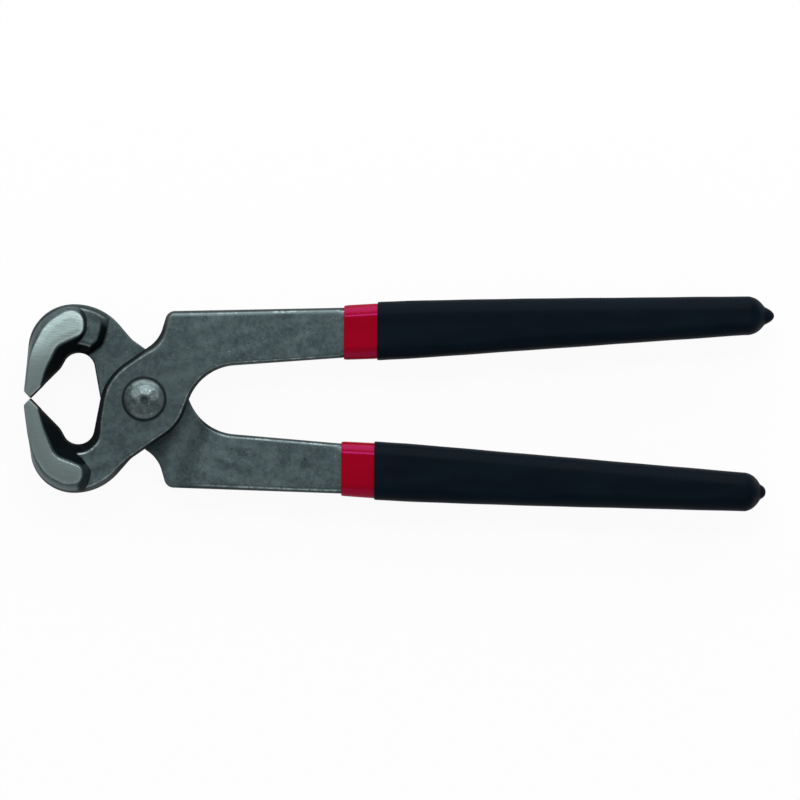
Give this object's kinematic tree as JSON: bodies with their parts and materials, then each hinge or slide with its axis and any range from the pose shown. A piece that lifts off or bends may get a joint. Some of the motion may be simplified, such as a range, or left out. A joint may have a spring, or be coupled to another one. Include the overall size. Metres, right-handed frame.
{
  "type": "carpenter's pincers",
  "caption": "Carpenter's pincers: crossed forged halves on a domed rivet, curved end-nipping jaws, straight arms with dip-coated grips.",
  "frame": {"origin": "under the middle of the overall length, on the centre line between the handles, in the plane on which the jaws' side faces rest", "axes": "+X from the jaws to the handles' ends, +Y towards the handle of the front half, +Z along the rivet towards the front half's lap"},
  "size_m": [0.2, 0.0574, 0.02],
  "materials": {
    "forged_steel": "dark grey shot-blasted forging with ground jaw sides",
    "rivet_steel": "dark grey, domed by hammering",
    "red_dip": "smooth glossy dipped plastic",
    "black_dip": "satin dipped plastic"
  },
  "bodies": {
    "back": {"back_half": "forged_steel", "rivet": "rivet_steel", "lower_red_sleeve": "red_dip", "lower_black_grip": "black_dip"},
    "front": {"front_half": "forged_steel", "upper_red_sleeve": "red_dip", "upper_black_grip": "black_dip"}
  },
  "joints": [
    {"name": "jaw_hinge", "type": "hinge", "parent": "back", "child": "front", "pos_m": [-0.06778, 0, 0.01], "axis": [0, 0, 1], "range_deg": [0, 30]}
  ]
}
